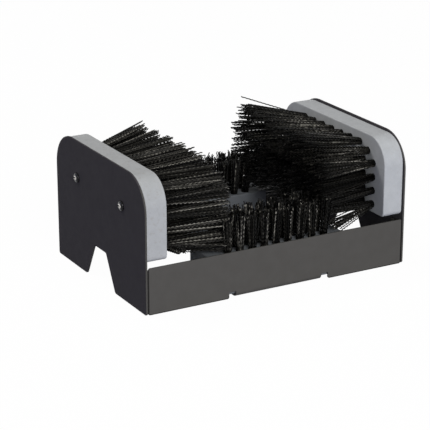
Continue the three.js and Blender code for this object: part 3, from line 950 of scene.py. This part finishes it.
lower = side_roots[:, 2] < (ROW_HEIGHTS[1] + ROW_HEIGHTS[2]) / 2
upper = side_roots[:, 2] > (ROW_HEIGHTS[2] + ROW_HEIGHTS[3]) / 2
top_row = side_roots[:, 2] > (ROW_HEIGHTS[3] + TOP_ROW_HEIGHT) / 2


def right_set():
    """Tips of the right brush's tufts as use has set them, and their radii there."""
    tips = side_tips.copy()
    radii = np.where(lower, LOW_TIP_RADIUS, SIDE_TIP_RADIUS)
    tips[top_row, 2] += np.interp(side_roots[top_row, 1], RIGHT_LIFT_FROM, RIGHT_LIFT)
    tips[0] = SPLIT_TUFT_TIP
    radii[0] = SPLIT_TUFT_RADIUS
    return tips, radii


def left_set():
    """Tips of the left brush's tufts as use has set them, and their radii there."""
    tips = half_turned(side_tips)
    radii = np.where(lower, LOW_TIP_RADIUS, SIDE_TIP_RADIUS)
    place = half_turned(side_roots)[top_row, 1]
    lean = np.interp(place, LEFT_LEAN_FROM, LEFT_LEAN)
    tips[top_row, 2] -= np.interp(place, LEFT_DROOP_FROM, LEFT_DROOP)
    tips[top_row, 1] += lean
    tips[top_row, 0] -= lean * LEFT_LEAN_BACK
    tips[~upper, 0] += LEFT_LONGER
    radii[top_row] = LEFT_TOP_RADIUS
    return tips, radii


right_tips, right_radii = right_set()
left_tips, left_radii = left_set()
# Each part of each brush gets its own painted light and shade
for part, rows in {"lower": lower, "middle": ~lower & ~upper, "upper": upper}.items():
    brush(f"bristles_right_{part}", "right_bristles", side_roots[rows], right_tips[rows],
          right_radii[rows], SIDE_RAGGED, RIGHT_PAINTED_LIGHT[part])
    brush(f"bristles_left_{part}", "left_bristles", half_turned(side_roots[rows]), left_tips[rows],
          left_radii[rows], SIDE_RAGGED, LEFT_PAINTED_LIGHT[part], LEFT_FILAMENTS[part], LEFT_CONTRAST,
          crest_highlight=LEFT_CREST_PAINTED_HIGHLIGHT)

# The rear strip's tufts get darker painted shade than the front's
strip_radii = np.full(len(strip_roots), STRIP_TIP_RADIUS)
brush("bristles_front", "front_base_bristles", strip_roots, strip_tips, strip_radii,
      STRIP_RAGGED, FRONT_PAINTED_LIGHT, contrast=FRONT_CONTRAST)
brush("bristles_rear", "rear_base_bristles", half_turned(strip_roots), half_turned(strip_tips),
      strip_radii, STRIP_RAGGED, REAR_PAINTED_LIGHT, contrast=REAR_CONTRAST)

for bunches, crimp in ((LOOSE_BUNCHES, CRIMP), (STRAYS, STRAY_CRIMP)):
    for name, node, root, tips, tip_radius, filaments in bunches:
        roots = np.tile(np.array(root) * MM, (len(tips), 1))
        brush(name, node, roots, np.array(tips) * MM, np.full(len(tips), tip_radius),
              SIDE_RAGGED, LOOSE_PAINTED_LIGHT, filaments, crimp=crimp)


# Screws keep their solids and get a zinc finish; the dome heads' has a painted highlight

for name, node in frame["nodes"].items():
    if "screw" in name:
        node.data.materials.clear()
        node.data.materials.append(zinc if name.startswith("base") else dome_zinc_painted_highlight)


# Stage

FLOOR_HALF = 6.0
FLOOR_DROP = 0.02 * MM
FLOOR_WHITE = (0.95, 0.95, 0.95, 1)
FLOOR_GLOW = 0.98
FLOOR_BOUNCE = (0.16, 0.17, 0.3, 1)
SKY = (0.12, 0.12, 0.12, 1)
BACKDROP = (1, 1, 1, 1)
LAMP_AIM = (0, 0, 0.05)


def seen_background(tree):
    """One for rays from the camera, in gloss or through glass, and zero for all others."""
    rays = tree.nodes.new("ShaderNodeLightPath").outputs
    seen = worked_out(tree, "MAXIMUM", rays["Is Camera Ray"], rays["Is Glossy Ray"])
    return worked_out(tree, "MAXIMUM", seen, rays["Is Transmission Ray"])


def mixed_shader(tree, first, second):
    """A mix of two shaders, as the node whose factor says how much of the second it has."""
    node = tree.nodes.new("ShaderNodeMixShader")
    tree.links.new(first, node.inputs[1])
    tree.links.new(second, node.inputs[2])
    return node


def floor_material():
    """White and glowing where it is seen, and bluish grey in the light that it sends up."""
    material = bpy.data.materials.new("floor")
    material.use_nodes = True
    tree = material.node_tree
    tree.nodes.clear()
    output = tree.nodes.new("ShaderNodeOutputMaterial")
    grey = tree.nodes.new("ShaderNodeBsdfDiffuse")
    grey.inputs["Color"].default_value = FLOOR_BOUNCE
    white = tree.nodes.new("ShaderNodeBsdfDiffuse")
    white.inputs["Color"].default_value = FLOOR_WHITE
    glow = tree.nodes.new("ShaderNodeEmission")
    glow.inputs["Strength"].default_value = 1.0
    lit = mixed_shader(tree, white.outputs["BSDF"], glow.outputs["Emission"])
    lit.inputs["Fac"].default_value = FLOOR_GLOW
    choice = mixed_shader(tree, grey.outputs["BSDF"], lit.outputs["Shader"])
    tree.links.new(seen_background(tree), choice.inputs["Fac"])
    tree.links.new(choice.outputs["Shader"], output.inputs["Surface"])
    return material


def floor():
    """A floor just below the object's feet."""
    half = FLOOR_HALF
    corners = [(-half, -half), (half, -half), (half, half), (-half, half)]
    mesh = flat_mesh("floor", [[(x, y, -FLOOR_DROP) for x, y in corners]])
    turned_to_face(mesh, mesh.polygons[0], (0, 0, 1))
    new_object("floor", mesh, floor_material())


def world():
    """White to the camera, and a soft grey sky for the rest."""
    scene_world = bpy.data.worlds.new("studio")
    bpy.context.scene.world = scene_world
    scene_world.use_nodes = True
    tree = scene_world.node_tree
    background = tree.nodes["Background"]
    choice = tree.nodes.new("ShaderNodeMix")
    choice.data_type = "RGBA"
    choice.inputs["A"].default_value = SKY
    choice.inputs["B"].default_value = BACKDROP
    tree.links.new(seen_background(tree), choice.inputs["Factor"])
    tree.links.new(choice.outputs["Result"], background.inputs["Color"])
    background.inputs["Strength"].default_value = 1.0


def lamp(name, place, size, power, colour=WHITE):
    """A round soft lamp that shines at the middle of the object."""
    light = bpy.data.lights.new(name, "AREA")
    light.shape = "DISK"
    light.size = size
    light.energy = power
    light.color = colour
    lamp_object = bpy.data.objects.new(name, light)
    lamp_object.location = place
    lamp_object.rotation_mode = "QUATERNION"
    lamp_object.rotation_quaternion = (Vector(LAMP_AIM) - Vector(place)).to_track_quat("-Z", "Y")
    bpy.context.scene.collection.objects.link(lamp_object)


floor()
world()
lamp("key", place=(-0.2, -2.5, 1.0), size=2.0, power=72)
lamp("back", place=(-0.9, 0.9, 1.9), size=1.0, power=22, colour=(1.0, 0.97, 0.94))
lamp("side", place=(-1.6, 1.3, 0.2), size=0.35, power=0.5, colour=(0.6, 0.8, 1.6))


# Camera, at the photograph's viewing angle

CAMERA_PLACE = (-0.6557, -1.1495, 0.4969)
CAMERA_YAW = math.radians(-29.19)
CAMERA_PITCH = math.radians(19.19)
FRAME_PIXELS = 430
FOCAL_PIXELS = 1752.5
SENSOR = 36.0

camera = bpy.data.cameras.new("camera")
camera.sensor_width = SENSOR
camera.lens = SENSOR * FOCAL_PIXELS / FRAME_PIXELS
camera_object = bpy.data.objects.new("camera", camera)
camera_object.location = CAMERA_PLACE
camera_object.rotation_euler = (math.pi / 2 - CAMERA_PITCH, 0, CAMERA_YAW)
bpy.context.scene.collection.objects.link(camera_object)
bpy.context.scene.camera = camera_object
bpy.context.scene.view_settings.view_transform = "Standard"
